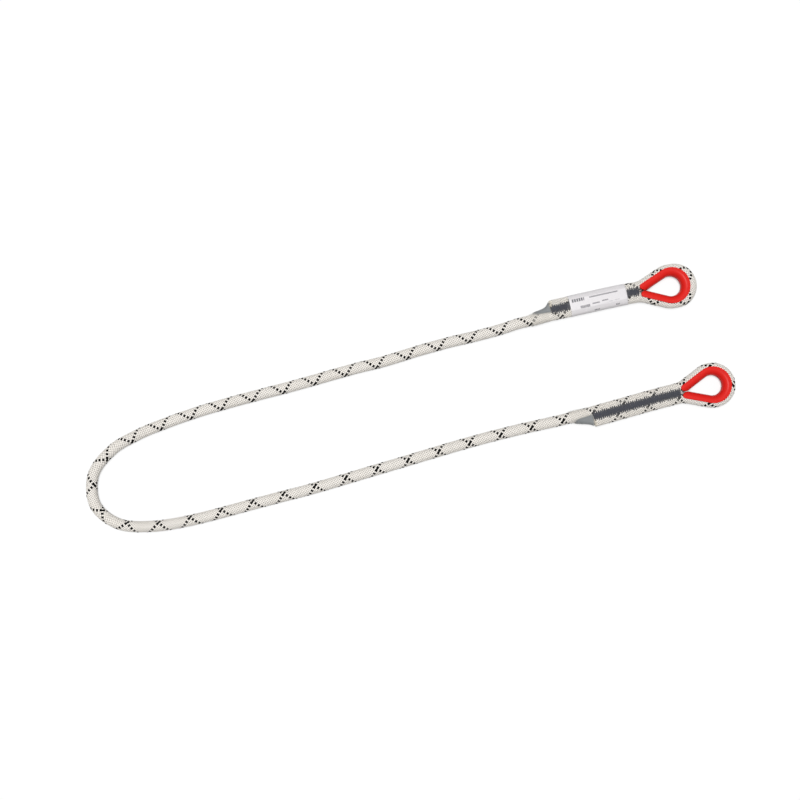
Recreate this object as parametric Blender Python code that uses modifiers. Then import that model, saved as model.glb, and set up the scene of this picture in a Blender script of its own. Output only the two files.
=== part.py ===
"""Restraint lanyard: one kernmantle rope with a sewn, sleeved thimble eye at each end.

Metres, +Z up. The lanyard lies on z = 0 in a U, with both eyes towards +X, and the origin is
under the middle of its outline. Each termination is modelled about the centre of its thimble's
round end, which looks along +X, and an empty then puts it in its place.
"""

import math

import bmesh
import bpy
import numpy as np

# Rope
ROPE_DIAMETER = 0.0125          # lying loose
SEWN_SQUEEZE = 0.0009           # how much thinner it is where it is sewn or bent round a thimble
SHEATH_WALL = 0.0012
ROPE_SIDES = 10
CORE_SIDES = 6
FREE_STEP = 0.034               # longest step between two rings of the free stretch
FREE_TURN = math.radians(17)    # greatest turn between two rings of the free stretch
ROUTE_FINENESS = 60             # points of its curve between two of the route's
DESCENT = 0.060                 # length over which the rope comes down from an eye to the floor

# Thimble
HOLE_RADIUS = 0.01135           # round end of the hole
HOLE_TIP = 0.0282               # from the centre of the round end to the hole's pointed end
THIMBLE_WALL = 0.0020
CHANNEL_BEND = 0.0062           # depth of the curved bottom of the channel
CHEEK_DEPTH = 0.0092            # from the hole's edge to the lip
LIP_ROUND = 0.0005
TONGUE_LENGTH = 0.0070          # of the two ends, past the hole's tip
TONGUE_ROUND = 0.0031           # radius of their rounded ends
TONGUE_SQUARE = 0.98            # share of that rounding that an end has before it is cut square
ARM_STOPS = (0.45, 0.75, 0.90, 1.0)  # shares of an arm's length at which it has a ring
THROAT_GAP = 0.0010

# Sewn termination, in lengths along its axis
CROTCH_RADIUS = 0.025           # of the rope, where its two legs come together
STITCH_SETBACK = 0.0025         # from the thimble's ends to the stitching
STITCH_LENGTH = 0.1010
STITCH_WIDTH = 0.0110
STITCH_SOLID = 0.0056           # width in which the stitches lie side by side
STITCH_PITCH = 0.00235
STITCH_UNEVEN = 0.10            # share by which the stitches differ in width
STITCH_BEAT = 2.4               # radians by which that difference moves on at each stitch
STITCH_LEAN = 0.25              # share of a pitch by which the teeth of the two sides lean
THREAD_THICKNESS = 0.0006
TAIL_PAST_STITCH = 0.0012
TAIL_ROUND = 0.0022             # length of the melted, rounded end of the rope
TAIL_TAPER = [(0, 0.70), (0.35, 0.92)]  # shares of that length, and of the rope's radius there
CORE_SETBACK = 0.0032           # from that end to the core
NECK_LENGTH = 0.040             # stretch of the stitching, next to the thimble, that may bend

# Shrink sleeve and label
SLEEVE_WALL = 0.0004
SLEEVE_PAST_TAIL = 0.0238
SLEEVE_STEP = 0.0215            # length in which the film comes down from the tail to the rope
BRIDGE_SHARE = 0.6              # share of that drop which is straight; the rest falls off at once
BRIDGE_FALL = 8                 # how steeply
BRIDGE_STOPS = (0, 0.08, 0.25, 0.60, 1.0)  # shares of that length at which the film has a ring
SLEEVE_FLANKS = 0.0050          # how far it reaches past the thimble's ends, along the legs
SLEEVE_SHORT = 0.0010           # how far it stays clear of those ends, between the legs
FLANK_FACING = 0.35             # share of sideways facing at which the flanks begin
FLANK_EASE = 0.45               # and over which they come to their full reach
FLANK_STOPS = (0, 0.25, 0.55, 1)  # shares of the way from the ends to the even film
MOUTH_EASE = 0.0009             # looseness of the film on the single rope
LABEL_LENGTH = 0.0655
LABEL_FROM_TAIL = 0.0227
LABEL_THICKNESS = 0.0002
LABEL_SEAM = 0.0030             # gap between its two ends, on the underside
FILM_EASE = 0.0040              # length in which the film rises over the label

CLEARANCE = 0.0003              # between pieces that touch
FILM_SIDES = 24
LEAST_STEP = 0.0005             # between two rings of the film

# The free rope from the upper sleeve's mouth, round the U, to the lower sleeve's mouth
ROUTE = [
    (0.1602, 0.0574), (0.1455, 0.0571), (0.1265, 0.0555), (0.0991, 0.0544), (0.0627, 0.0541),
    (0.0263, 0.0524), (-0.0099, 0.0497), (-0.0460, 0.0490), (-0.0821, 0.0473), (-0.1182, 0.0455),
    (-0.1543, 0.0445), (-0.1904, 0.0432), (-0.2263, 0.0411), (-0.2619, 0.0372), (-0.2973, 0.0314),
    (-0.3307, 0.0206), (-0.3565, -0.0020), (-0.3609, -0.0357), (-0.3395, -0.0615),
    (-0.3053, -0.0722), (-0.2697, -0.0754), (-0.2341, -0.0753), (-0.1984, -0.0740),
    (-0.1627, -0.0729), (-0.1268, -0.0720), (-0.0911, -0.0701), (-0.0554, -0.0678),
    (-0.0195, -0.0657), (0.0164, -0.0634), (0.0523, -0.0613), (0.0884, -0.0599), (0.1246, -0.0594),
    (0.1445, -0.0596), (0.1625, -0.0598), (0.1775, -0.0594),
]

# The two terminations: where each is on the route, which way it looks there, how far its neck
# bends, on which side its tail lies, and how far its rope stands off the thimble's round end
TERMINATIONS = {
    "upper": {"mouth": ROUTE[0], "heading": -0.3, "bend": -2.7, "tail": 1, "slack": 0.0046},
    "lower": {"mouth": ROUTE[-1], "heading": 2.7, "bend": -2.1, "tail": -1, "slack": 0.0015},
}

# Sizes that follow from those above
ROPE_RADIUS = ROPE_DIAMETER / 2
LEG_RADIUS = (ROPE_DIAMETER - SEWN_SQUEEZE) / 2
LEG_OFFSET = LEG_RADIUS + CLEARANCE / 2
FACET = 1 / math.cos(math.pi / ROPE_SIDES)
CORE_INSET = (SHEATH_WALL + CLEARANCE) * FACET
ROPE_HEIGHT = ROPE_RADIUS / FACET

CHEEK_INSIDE = LEG_RADIUS + CLEARANCE
CHEEK_OUTSIDE = CHEEK_INSIDE + THIMBLE_WALL
HALF_ANGLE = math.asin(HOLE_RADIUS / HOLE_TIP)
EYE_RADIUS = HOLE_RADIUS + THIMBLE_WALL + CLEARANCE + LEG_RADIUS

STITCH_START = HOLE_TIP + TONGUE_LENGTH + STITCH_SETBACK
STITCH_END = STITCH_START + STITCH_LENGTH
TAIL_END = STITCH_END + TAIL_PAST_STITCH
MOUTH = TAIL_END + SLEEVE_PAST_TAIL
LABEL_END = TAIL_END - LABEL_FROM_TAIL
LABEL_START = LABEL_END - LABEL_LENGTH

THREAD_HEIGHT = LEG_RADIUS + CLEARANCE + THREAD_THICKNESS / 2
STITCH_REACH = STITCH_WIDTH / 2 * (1 + STITCH_UNEVEN)
FILM_TOP = (THREAD_HEIGHT + THREAD_THICKNESS / 2 + 2 * CLEARANCE + LABEL_THICKNESS
            + SLEEVE_WALL)
EYE_HEIGHT = max(CHEEK_OUTSIDE, FILM_TOP)

WHITE = (0.78, 0.76, 0.72)
CORE_WHITE = (0.86, 0.86, 0.84)
RED = (0.75, 0.03, 0.03)
THREAD_GREY = (0.09, 0.10, 0.12)
FILM_GREY = (0.40, 0.43, 0.46)
LABEL_WHITE = (0.80, 0.79, 0.82)


def clear_scene():
    for item in list(bpy.data.objects):
        bpy.data.objects.remove(item, do_unlink=True)


def make_collection(name):
    group = bpy.data.collections.new(name)
    bpy.context.scene.collection.children.link(group)
    return group


def make_material(name, colour, roughness):
    material = bpy.data.materials.new(name)
    material.use_nodes = True
    shader = material.node_tree.nodes["Principled BSDF"]
    shader.inputs["Base Color"].default_value = (*colour, 1)
    shader.inputs["Roughness"].default_value = roughness
    shader.inputs["Metallic"].default_value = 0
    return material


def add_object(group, name, data, material, parent=None):
    piece = bpy.data.objects.new(name, data)
    group.objects.link(piece)
    piece.data.materials.append(material)
    piece.parent = parent
    return piece


def smooth(share):
    """0 to 1 with level ends."""
    share = min(max(share, 0.0), 1.0)
    return share * share * (3 - 2 * share)


def arc(centre, radius, first, last, count):
    angles = np.linspace(first, last, count)
    return [(centre + radius * math.cos(a), radius * math.sin(a)) for a in angles]


def without_repeats(points, least=0.0002):
    kept = [points[0]]
    for point in points[1:]:
        if math.dist(point, kept[-1]) > least:
            kept.append(point)
    return kept


# The termination's bent axis

def bent(x, y, bend):
    """Carry a point of a straight termination along its neck, which turns by bend radians."""
    past = -x - STITCH_START
    if past <= 0 or bend == 0:
        return x, y
    turned = bend * min(past / NECK_LENGTH, 1.0)
    radius = NECK_LENGTH / bend
    along = max(past - NECK_LENGTH, 0.0)
    centre_x = -STITCH_START - radius * math.sin(turned) - along * math.cos(turned)
    centre_y = radius * (1 - math.cos(turned)) + along * math.sin(turned)
    return centre_x + y * math.sin(turned), centre_y + y * math.cos(turned)


def place_termination(group, name, place):
    """An empty at the centre of the thimble's round end."""
    bend = math.radians(place["bend"])
    looks = math.radians(place["heading"]) + bend
    x, y = bent(-MOUTH, -place["tail"] * LEG_OFFSET, bend)
    empty = bpy.data.objects.new(f"{name}_termination", None)
    group.objects.link(empty)
    empty.empty_display_size = HOLE_RADIUS
    empty.rotation_euler = (0, 0, looks)
    empty.location = (place["mouth"][0] - x * math.cos(looks) + y * math.sin(looks),
                      place["mouth"][1] - x * math.sin(looks) - y * math.cos(looks),
                      EYE_HEIGHT)
    return empty


# Rope

def tube_mesh(name, points, radii, sides):
    """An open tube through the points, made of a curve whose bevel gives it 4 sides and 2 more
    for each step of its resolution."""
    curve = bpy.data.curves.new(name, "CURVE")
    curve.dimensions = "3D"
    curve.twist_mode = "Z_UP"
    curve.bevel_depth = ROPE_RADIUS
    curve.bevel_resolution = (sides - 4) // 2
    curve.use_fill_caps = False
    spline = curve.splines.new("POLY")
    spline.points.add(len(points) - 1)
    for knot, point, radius in zip(spline.points, points, radii):
        knot.co = (*point, 1)
        knot.radius = radius / ROPE_RADIUS
    maker = bpy.data.objects.new(name, curve)
    bpy.context.scene.collection.objects.link(maker)
    seen = maker.evaluated_get(bpy.context.evaluated_depsgraph_get())
    mesh = bpy.data.meshes.new_from_object(seen)
    bpy.data.objects.remove(maker)
    bpy.data.curves.remove(curve)
    return mesh


def cap_ends(mesh, only_at=None):
    """Close the tube's two ends, or only the one whose middle is at a point."""
    form = bmesh.new()
    form.from_mesh(mesh)
    rims = [edge for edge in form.edges if edge.is_boundary]
    if only_at is not None:
        rims = [edge for edge in rims
                if math.dist(edge.verts[0].co, only_at) < ROPE_RADIUS + CLEARANCE]
    bmesh.ops.holes_fill(form, edges=rims, sides=0)
    bmesh.ops.recalc_face_normals(form, faces=form.faces)
    form.to_mesh(mesh)
    form.free()


def add_rope(group, place_name, points, radii, materials, parent=None, sealed=False):
    """A sheath and, inside it, a core. A sealed rope's first end is melted shut."""
    sheath_mesh = tube_mesh(f"rope_sheath_{place_name}", points, radii, ROPE_SIDES)
    if sealed:
        cap_ends(sheath_mesh, points[0])
    sheath = add_object(group, f"rope_sheath_{place_name}", sheath_mesh, materials["sheath"],
                        parent)
    wall = sheath.modifiers.new("Sheath wall", "SOLIDIFY")
    wall.thickness = SHEATH_WALL
    wall.offset = -1
    wall.use_even_offset = True

    inner = points
    if sealed:
        past_taper = len(TAIL_TAPER) + 1
        end, ahead = points[0], points[past_taper]
        shift = CORE_SETBACK / math.dist(end, ahead)
        start = tuple(a + (b - a) * shift for a, b in zip(end, ahead))
        inner = [start] + points[past_taper:]
    core_radii = [radius - CORE_INSET for radius in radii[-len(inner):]]
    core_mesh = tube_mesh(f"rope_core_{place_name}", inner, core_radii, CORE_SIDES)
    cap_ends(core_mesh)
    core = add_object(group, f"rope_core_{place_name}", core_mesh, materials["core"], parent)
    for piece in (sheath, core):
        piece.data.shade_smooth()
        piece.data.set_sharp_from_angle(angle=math.radians(50))


def free_points():
    """Rings of the free stretch, closer together where it bends."""
    first, last = TERMINATIONS["upper"], TERMINATIONS["lower"]
    route = [np.array(point) for point in ROUTE]
    ends = []
    for place, near, sign in ((first, 1, -1), (last, -2, 1)):
        angle = math.radians(place["heading"])
        out = np.array([math.cos(angle), math.sin(angle)])
        span = np.linalg.norm(route[near] - np.array(place["mouth"]))
        ends.append(route[near] + 2 * span * out)
    knots = [ends[0]] + route + [ends[1]]
    fine = []
    for before, start, end, after in zip(knots, knots[1:], knots[2:], knots[3:]):
        for t in np.linspace(0, 1, ROUTE_FINENESS, endpoint=False):
            fine.append(0.5 * (2 * start + (end - before) * t
                               + (2 * before - 5 * start + 4 * end - after) * t ** 2
                               + (3 * start - before - 3 * end + after) * t ** 3))
    fine = np.array(fine + [route[-1]])
    steps = np.diff(fine, axis=0)
    lengths = np.linalg.norm(steps, axis=1)
    facing = np.unwrap(np.arctan2(steps[:, 1], steps[:, 0]))
    turns = np.abs(np.diff(facing, prepend=facing[0]))
    along = np.concatenate([[0], np.cumsum(lengths)])
    need = np.concatenate([[0], np.cumsum(np.maximum(lengths / FREE_STEP, turns / FREE_TURN))])
    stops = np.interp(np.linspace(0, need[-1], math.ceil(need[-1]) + 1), need, along)
    stops[0] += CLEARANCE
    stops[-1] -= CLEARANCE
    stops = np.sort(np.concatenate([stops, [ROPE_DIAMETER, along[-1] - ROPE_DIAMETER]]))
    points = []
    for stop in stops:
        down = smooth(min(stop, along[-1] - stop) / DESCENT)
        points.append((float(np.interp(stop, along, fine[:, 0])),
                       float(np.interp(stop, along, fine[:, 1])),
                       EYE_HEIGHT + (ROPE_HEIGHT - EYE_HEIGHT) * down))
    return points, along[-1]


def crotch():
    """The arc where an arm of the eye turns into a leg: its centre and its two ends' x."""
    corner = -(EYE_RADIUS - LEG_OFFSET * math.cos(HALF_ANGLE)) / math.sin(HALF_ANGLE)
    tangent = CROTCH_RADIUS * math.tan(HALF_ANGLE / 2)
    return corner - tangent, corner + tangent * math.cos(HALF_ANGLE)


def leg_at(back):
    """Offset and slope angle of the rope's middle line at a distance behind the eye's centre."""
    leg_end, arm_end = crotch()
    if -back <= leg_end:
        return LEG_OFFSET, 0.0
    if -back <= arm_end:
        angle = math.asin((-back - leg_end) / CROTCH_RADIUS)
        return LEG_OFFSET + CROTCH_RADIUS * (1 - math.cos(angle)), angle
    rise = LEG_OFFSET + CROTCH_RADIUS * (1 - math.cos(HALF_ANGLE))
    return rise + (-back - arm_end) * math.tan(HALF_ANGLE), HALF_ANGLE


def leg_radius_at(back):
    """The rope is thin as far as its tail lies beside it, and full at the sleeve's mouth."""
    return LEG_RADIUS + (ROPE_RADIUS - LEG_RADIUS) * smooth((back - TAIL_END) / SLEEVE_STEP)


def eye_points(place):
    """The rope from its tail's melted end, round the thimble, to the sleeve's mouth."""
    leg_end, arm_end = crotch()
    bend = math.radians(place["bend"])
    backs = [TAIL_END - TAIL_ROUND * share for share, _ in TAIL_TAPER] + [TAIL_END - TAIL_ROUND]
    backs += list(np.linspace(STITCH_START + NECK_LENGTH, -leg_end, 5))
    half = [(-back, LEG_OFFSET) for back in backs]
    for angle in np.linspace(0, HALF_ANGLE, 4)[1:]:
        half.append((leg_end + CROTCH_RADIUS * math.sin(angle),
                     LEG_OFFSET + CROTCH_RADIUS * (1 - math.cos(angle))))
    right = math.pi / 2
    half += arc(0, EYE_RADIUS, right + HALF_ANGLE, right, 3)
    tail_side = half + arc(place["slack"], EYE_RADIUS, right, 0, 7)
    standing = [(x, -y) for x, y in reversed(half[len(TAIL_TAPER) + 1:])]
    standing = arc(place["slack"], EYE_RADIUS, 0, -right, 7) + standing
    for back in np.linspace(TAIL_END, MOUTH, 4):
        standing.append((-back, -LEG_OFFSET))
    flat = without_repeats(tail_side + standing)

    radii = []
    for index, (x, y) in enumerate(flat):
        share = TAIL_TAPER[index][1] if index < len(TAIL_TAPER) else 1.0
        radii.append(leg_radius_at(-x if y < 0 else 0) * share)
    points = [(*bent(x, y * place["tail"], bend), 0.0) for x, y in flat]
    return points, radii


# Thimble

def channel_profile():
    """Outer and inner side of the channel, lip to lip: (distance from the hole's edge, z)."""
    turns = np.linspace(math.pi / 2, -math.pi / 2, 9)
    outer = [(CHANNEL_BEND * (1 - math.cos(t)), CHEEK_OUTSIDE * math.sin(t)) for t in turns]
    inner = [(CHANNEL_BEND - (CHANNEL_BEND - THIMBLE_WALL) * math.cos(t),
              CHEEK_INSIDE * math.sin(t)) for t in turns]
    outer = ([(CHEEK_DEPTH, CHEEK_OUTSIDE - LIP_ROUND), (CHEEK_DEPTH - LIP_ROUND, CHEEK_OUTSIDE)]
             + outer
             + [(CHEEK_DEPTH - LIP_ROUND, -CHEEK_OUTSIDE), (CHEEK_DEPTH, LIP_ROUND - CHEEK_OUTSIDE)])
    inner = ([(CHEEK_DEPTH, CHEEK_INSIDE + LIP_ROUND), (CHEEK_DEPTH - LIP_ROUND, CHEEK_INSIDE)]
             + inner
             + [(CHEEK_DEPTH - LIP_ROUND, -CHEEK_INSIDE), (CHEEK_DEPTH, -CHEEK_INSIDE - LIP_ROUND)])
    return outer, inner


def arm_length(depth):
    """How far an arm runs past the round end, at a depth in the channel: its end is rounded."""
    to_tip = math.sqrt(HOLE_TIP ** 2 - HOLE_RADIUS ** 2)
    past = (TONGUE_LENGTH - CHANNEL_BEND * math.sin(HALF_ANGLE)) / math.cos(HALF_ANGLE)
    cut = (past * math.sin(HALF_ANGLE) + THROAT_GAP / 2) / math.cos(HALF_ANGLE)
    aside = (depth - (cut + CHEEK_DEPTH) / 2) / TONGUE_ROUND
    aside = min(max(aside, -TONGUE_SQUARE), TONGUE_SQUARE)
    return to_tip + past + TONGUE_ROUND * (math.sqrt(1 - aside * aside) - 3 / 4)


def half_thimble_mesh():
    """The half at +Y, open where it meets its mirror image at the round end."""
    outer, inner = channel_profile()
    ring = outer + inner[::-1]
    rows = []
    for angle in np.linspace(0, math.pi / 2 + HALF_ANGLE, 11):
        rows.append([((HOLE_RADIUS + depth) * math.cos(angle),
                      (HOLE_RADIUS + depth) * math.sin(angle), z) for depth, z in ring])
    across = (-math.sin(HALF_ANGLE), math.cos(HALF_ANGLE))
    for share in ARM_STOPS:
        row = []
        for depth, z in ring:
            run = share * arm_length(depth)
            row.append(((HOLE_RADIUS + depth) * across[0] - run * across[1],
                        (HOLE_RADIUS + depth) * across[1] + run * across[0], z))
        rows.append(row)

    form = bmesh.new()
    corners = [[form.verts.new(point) for point in row] for row in rows]
    count = len(ring)
    for row, following in zip(corners, corners[1:]):
        for i in range(count):
            j = (i + 1) % count
            form.faces.new((row[i], row[j], following[j], following[i]))
    end = corners[-1]
    for i in range(len(outer) - 1):
        form.faces.new((end[i], end[i + 1], end[count - 2 - i], end[count - 1 - i]))
    arm_faces = [face for face in form.faces if face.calc_center_median().x < -HOLE_RADIUS]
    geometry = list({item for face in arm_faces for item in (*face.verts, *face.edges, face)})
    bmesh.ops.bisect_plane(form, geom=geometry, dist=1e-7, plane_co=(0, THROAT_GAP / 2, 0),
                           plane_no=(0, 1, 0), clear_inner=True)
    rim = [edge for edge in form.edges
           if edge.is_boundary and all(corner.co.x < 0 for corner in edge.verts)]
    bmesh.ops.contextual_create(form, geom=rim)
    bmesh.ops.recalc_face_normals(form, faces=form.faces)
    mesh = bpy.data.meshes.new("thimble_half")
    form.to_mesh(mesh)
    form.free()
    return mesh


def add_thimble(group, name, mesh, material, parent):
    thimble = add_object(group, f"thimble_{name}", mesh.copy(), material, parent)
    mirror = thimble.modifiers.new("Other arm", "MIRROR")
    mirror.use_axis = (False, True, False)
    mirror.merge_threshold = 0.00001
    thimble.data.shade_smooth()
    thimble.data.set_sharp_from_angle(angle=math.radians(40))


# Stitching

def stitch_outline(place):
    """Edge of the dense zig-zag: a tooth at each stitch on both sides."""
    bend = math.radians(place["bend"])
    count = round(STITCH_LENGTH / STITCH_PITCH)
    pitch = STITCH_LENGTH / count
    sides = []
    for side in (1, -1):
        edge = [(-STITCH_START, side * STITCH_SOLID / 2)]
        for i in range(count):
            tip = STITCH_WIDTH / 2 * (1 + STITCH_UNEVEN * math.sin(STITCH_BEAT * i * side + 1))
            lean = 0.5 + side * STITCH_LEAN
            edge.append((-STITCH_START - (i + lean) * pitch, side * tip))
            edge.append((-STITCH_START - (i + 1) * pitch, side * STITCH_SOLID / 2))
        sides.append(edge)
    return [bent(x, y, bend) for x, y in sides[0] + sides[1][::-1]]


def add_stitches(group, name, place, material, parent):
    """The needle's thread on top, and the bobbin's below: a flat outline, raised."""
    for thread, side in (("needle", 1), ("bobbin", -1)):
        low = side * THREAD_HEIGHT - THREAD_THICKNESS / 2
        form = bmesh.new()
        corners = [form.verts.new((x, y, low)) for x, y in stitch_outline(place)]
        form.faces.new(corners)
        raised = bmesh.ops.extrude_face_region(form, geom=form.faces[:])
        top = [item for item in raised["geom"] if isinstance(item, bmesh.types.BMVert)]
        bmesh.ops.translate(form, verts=top, vec=(0, 0, THREAD_THICKNESS))
        bmesh.ops.recalc_face_normals(form, faces=form.faces)
        mesh = bpy.data.meshes.new(f"{thread}_thread_{name}")
        form.to_mesh(mesh)
        form.free()
        add_object(group, f"{thread}_thread_{name}", mesh, material, parent)


# Film and label, both drawn tight over what they cover

def wrapped(back, direction, lift, place):
    """Point of a skin stretched over rope and thread, at a lift above them.

    direction is the way the skin faces there, and the skin touches whichever round edge
    reaches furthest that way: a leg of the rope, or an edge of the stitching.
    """
    offset, slope = leg_at(back)
    radius = leg_radius_at(back)
    rope_side = -place["tail"]
    edges = [(rope_side * offset, 0.0, radius / math.cos(slope))]
    fall = 0.0 if back <= TAIL_END else min((back - TAIL_END) / SLEEVE_STEP, 1.0)
    stays = BRIDGE_SHARE * (1 - fall) + (1 - BRIDGE_SHARE) * (1 - fall) ** BRIDGE_FALL
    tail_y = -rope_side * offset * stays + rope_side * offset * (1 - stays)
    edges.append((tail_y, 0.0, radius / math.cos(slope)))
    if STITCH_START - FILM_EASE < back < STITCH_END + FILM_EASE:
        inside = min(back - STITCH_START, STITCH_END - back)
        full = smooth(1 + min(inside, 0.0) / FILM_EASE)
        height = LEG_RADIUS - THREAD_THICKNESS + full * (THREAD_HEIGHT - LEG_RADIUS
                                                         + THREAD_THICKNESS)
        for side_y in (1, -1):
            for side_z in (1, -1):
                edges.append((side_y * STITCH_REACH, side_z * height, THREAD_THICKNESS / 2))
    face = (math.cos(direction), math.sin(direction))
    reach = [y * face[0] + z * face[1] + r for y, z, r in edges]
    y, z, r = edges[int(np.argmax(np.round(reach, 9)))]
    y, z = y + (r + lift) * face[0], z + (r + lift) * face[1]
    x, y = bent(-back, y, math.radians(place["bend"]))
    return x, y, z


def skin_mesh(name, rows, closed):
    """Open surface through rows of points, wound so that its faces look outwards."""
    form = bmesh.new()
    corners = [[form.verts.new(point) for point in row] for row in rows]
    count = len(rows[0])
    for row, following in zip(corners, corners[1:]):
        for i in range(count if closed else count - 1):
            j = (i + 1) % count
            form.faces.new((row[i], following[i], following[j], row[j]))
    mesh = bpy.data.meshes.new(name)
    form.to_mesh(mesh)
    form.free()
    return mesh


def add_skin(group, name, rows, closed, thickness, material, parent):
    skin = add_object(group, name, skin_mesh(name, rows, closed), material, parent)
    wall = skin.modifiers.new("Thickness", "SOLIDIFY")
    wall.thickness = thickness
    wall.offset = 1
    wall.use_even_offset = True
    skin.data.shade_smooth()
    skin.data.set_sharp_from_angle(angle=math.radians(60))
    return skin


def add_sleeve(group, name, place, labelled, material, parent):
    tongues = HOLE_TIP + TONGUE_LENGTH
    middle, flank = tongues + SLEEVE_SHORT, tongues - SLEEVE_FLANKS
    settled = STITCH_START + FILM_EASE
    stations = [(middle + (settled - middle) * t, flank + (settled - flank) * t)
                for t in FLANK_STOPS]
    plain = [STITCH_START + NECK_LENGTH / 2, STITCH_START + NECK_LENGTH, LABEL_END + FILM_EASE,
             STITCH_END]
    if labelled:
        plain += [LABEL_START - FILM_EASE, LABEL_START, LABEL_END]
    plain += [TAIL_END + SLEEVE_STEP * share for share in BRIDGE_STOPS]
    for back in sorted(plain):
        if stations[-1][0] + LEAST_STEP < back < MOUTH - LEAST_STEP:
            stations.append((back, back))
    stations.append((MOUTH, MOUTH))

    rows = []
    for back, flank_back in stations:
        row = []
        for i in range(FILM_SIDES):
            direction = 2 * math.pi * (i + 0.5) / FILM_SIDES
            sideways = smooth((abs(math.cos(direction)) - FLANK_FACING) / FLANK_EASE)
            here = back + (flank_back - back) * sideways
            lift = CLEARANCE + MOUTH_EASE * smooth((here - TAIL_END) / SLEEVE_STEP)
            if labelled:
                inside = min(here - LABEL_START, LABEL_END - here)
                lift += (CLEARANCE + LABEL_THICKNESS) * smooth(1 + min(inside, 0) / FILM_EASE)
            row.append(wrapped(here, direction, lift, place))
        rows.append(row)
    add_skin(group, f"shrink_sleeve_{name}", rows, True, SLEEVE_WALL, material, parent)


def add_label(group, place, material, parent):
    rows = []
    for back in (LABEL_START, STITCH_START + NECK_LENGTH, LABEL_END):
        row = []
        for i in range(FILM_SIDES):
            direction = -math.pi / 2 + 2 * math.pi * (i + 0.5) / FILM_SIDES
            row.append(wrapped(back, direction, CLEARANCE, place))
        under = -(THREAD_HEIGHT + THREAD_THICKNESS / 2 + CLEARANCE)
        for side, at in ((-1, len(row)), (1, 0)):
            x, y = bent(-back, side * LABEL_SEAM / 2, math.radians(place["bend"]))
            row.insert(at, (x, y, under))
        rows.append(row)
    add_skin(group, "identification_label", rows, False, LABEL_THICKNESS, material, parent)


def build():
    clear_scene()
    group = make_collection("restraint_lanyard")
    rope_materials = {"sheath": make_material("rope_sheath", WHITE, 0.75),
                      "core": make_material("rope_core", CORE_WHITE, 0.7)}
    plastic = make_material("red_plastic", RED, 0.28)
    thread = make_material("sewing_thread", THREAD_GREY, 0.6)
    film = make_material("shrink_film", FILM_GREY, 0.2)
    paper = make_material("label_paper", LABEL_WHITE, 0.5)

    points, length = free_points()
    add_rope(group, "free_stretch", points, [ROPE_RADIUS] * len(points), rope_materials)

    thimble = half_thimble_mesh()
    for name, place in TERMINATIONS.items():
        empty = place_termination(group, name, place)
        points, radii = eye_points(place)
        add_rope(group, f"{name}_eye", points, radii, rope_materials, empty, sealed=True)
        add_thimble(group, name, thimble, plastic, empty)
        add_stitches(group, name, place, thread, empty)
        labelled = name == "upper"
        add_sleeve(group, name, place, labelled, film, empty)
        if labelled:
            add_label(group, place, paper, empty)

    slack = sum(place["slack"] for place in TERMINATIONS.values())
    whole = length + 2 * (MOUTH + EYE_RADIUS + LEG_RADIUS) + slack
    print(f"free stretch {length:.4f} m, eye to eye {whole:.4f} m")


build()
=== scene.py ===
"""Restraint lanyard, dressed: braided rope, sewn eyes under shrink film, red thimbles.

Metres, +Z up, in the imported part's own frame. The rope is braided strand by strand along one
line, from the melted tail of the upper eye to the melted tail of the lower one.
"""

import math

import bmesh
import bpy
import numpy as np
from mathutils import Matrix, Vector, noise


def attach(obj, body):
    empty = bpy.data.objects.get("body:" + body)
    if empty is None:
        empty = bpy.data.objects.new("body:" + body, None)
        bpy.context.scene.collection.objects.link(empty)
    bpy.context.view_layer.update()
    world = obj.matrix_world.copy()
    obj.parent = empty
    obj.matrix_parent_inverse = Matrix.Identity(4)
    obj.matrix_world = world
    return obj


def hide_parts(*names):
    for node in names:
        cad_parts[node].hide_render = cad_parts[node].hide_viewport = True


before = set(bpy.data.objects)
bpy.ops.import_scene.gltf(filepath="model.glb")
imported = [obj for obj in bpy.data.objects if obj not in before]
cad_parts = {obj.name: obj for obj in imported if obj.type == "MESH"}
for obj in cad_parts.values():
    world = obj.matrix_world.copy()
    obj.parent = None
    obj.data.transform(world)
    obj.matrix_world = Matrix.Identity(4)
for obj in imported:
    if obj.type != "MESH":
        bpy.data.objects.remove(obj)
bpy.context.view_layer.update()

# View
PICTURE_CENTRE = Vector((-0.0033, 0.0035, 0.0))
CAMERA_DISTANCE = 1.1655
CAMERA_RISE = math.radians(85.5)
PICTURE_TURN = math.radians(13.0)
LENS = 46.4
FLOOR_REACH = 4  # from its middle to its edges
FLOOR_WHITENESS = 0.8  # share of plain white in what the camera sees of the floor
GAP_REACH = 0.012  # the floor stays dark where pieces this near close in on it
GAP_SHADES = (0.15, 0.45)  # openness at which the floor is darkest, and fully white
SKY_LIGHT = 0.31  # of the studio's white walls; the camera sees them as plain white
SOFTBOX_PLACE = (-0.15, 0.12, 2.4)
SOFTBOX_SIZE = 0.9
SOFTBOX_POWER = 52  # watts

# Rope
ROPE_DIAMETER = 0.0125
SOLID_SIDES = 10  # of the rope's solid, which lies on one of them
SEWN_SQUEEZE = 0.0009  # the rope is this much thinner inside a sewn end
DESCENT = 0.06  # length in which it comes down from a thimble's middle to the floor
LINE_STEP = 0.0005  # between two points of the rope's middle line
ROUTE_STEPS = 60  # of the smooth curve between two points of the route
CORE_STEP = 0.006  # between two points of the core of the free stretch
EYE_CORE_STEP = 0.002  # and of an eye
CORE_FINENESS = 6

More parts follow.
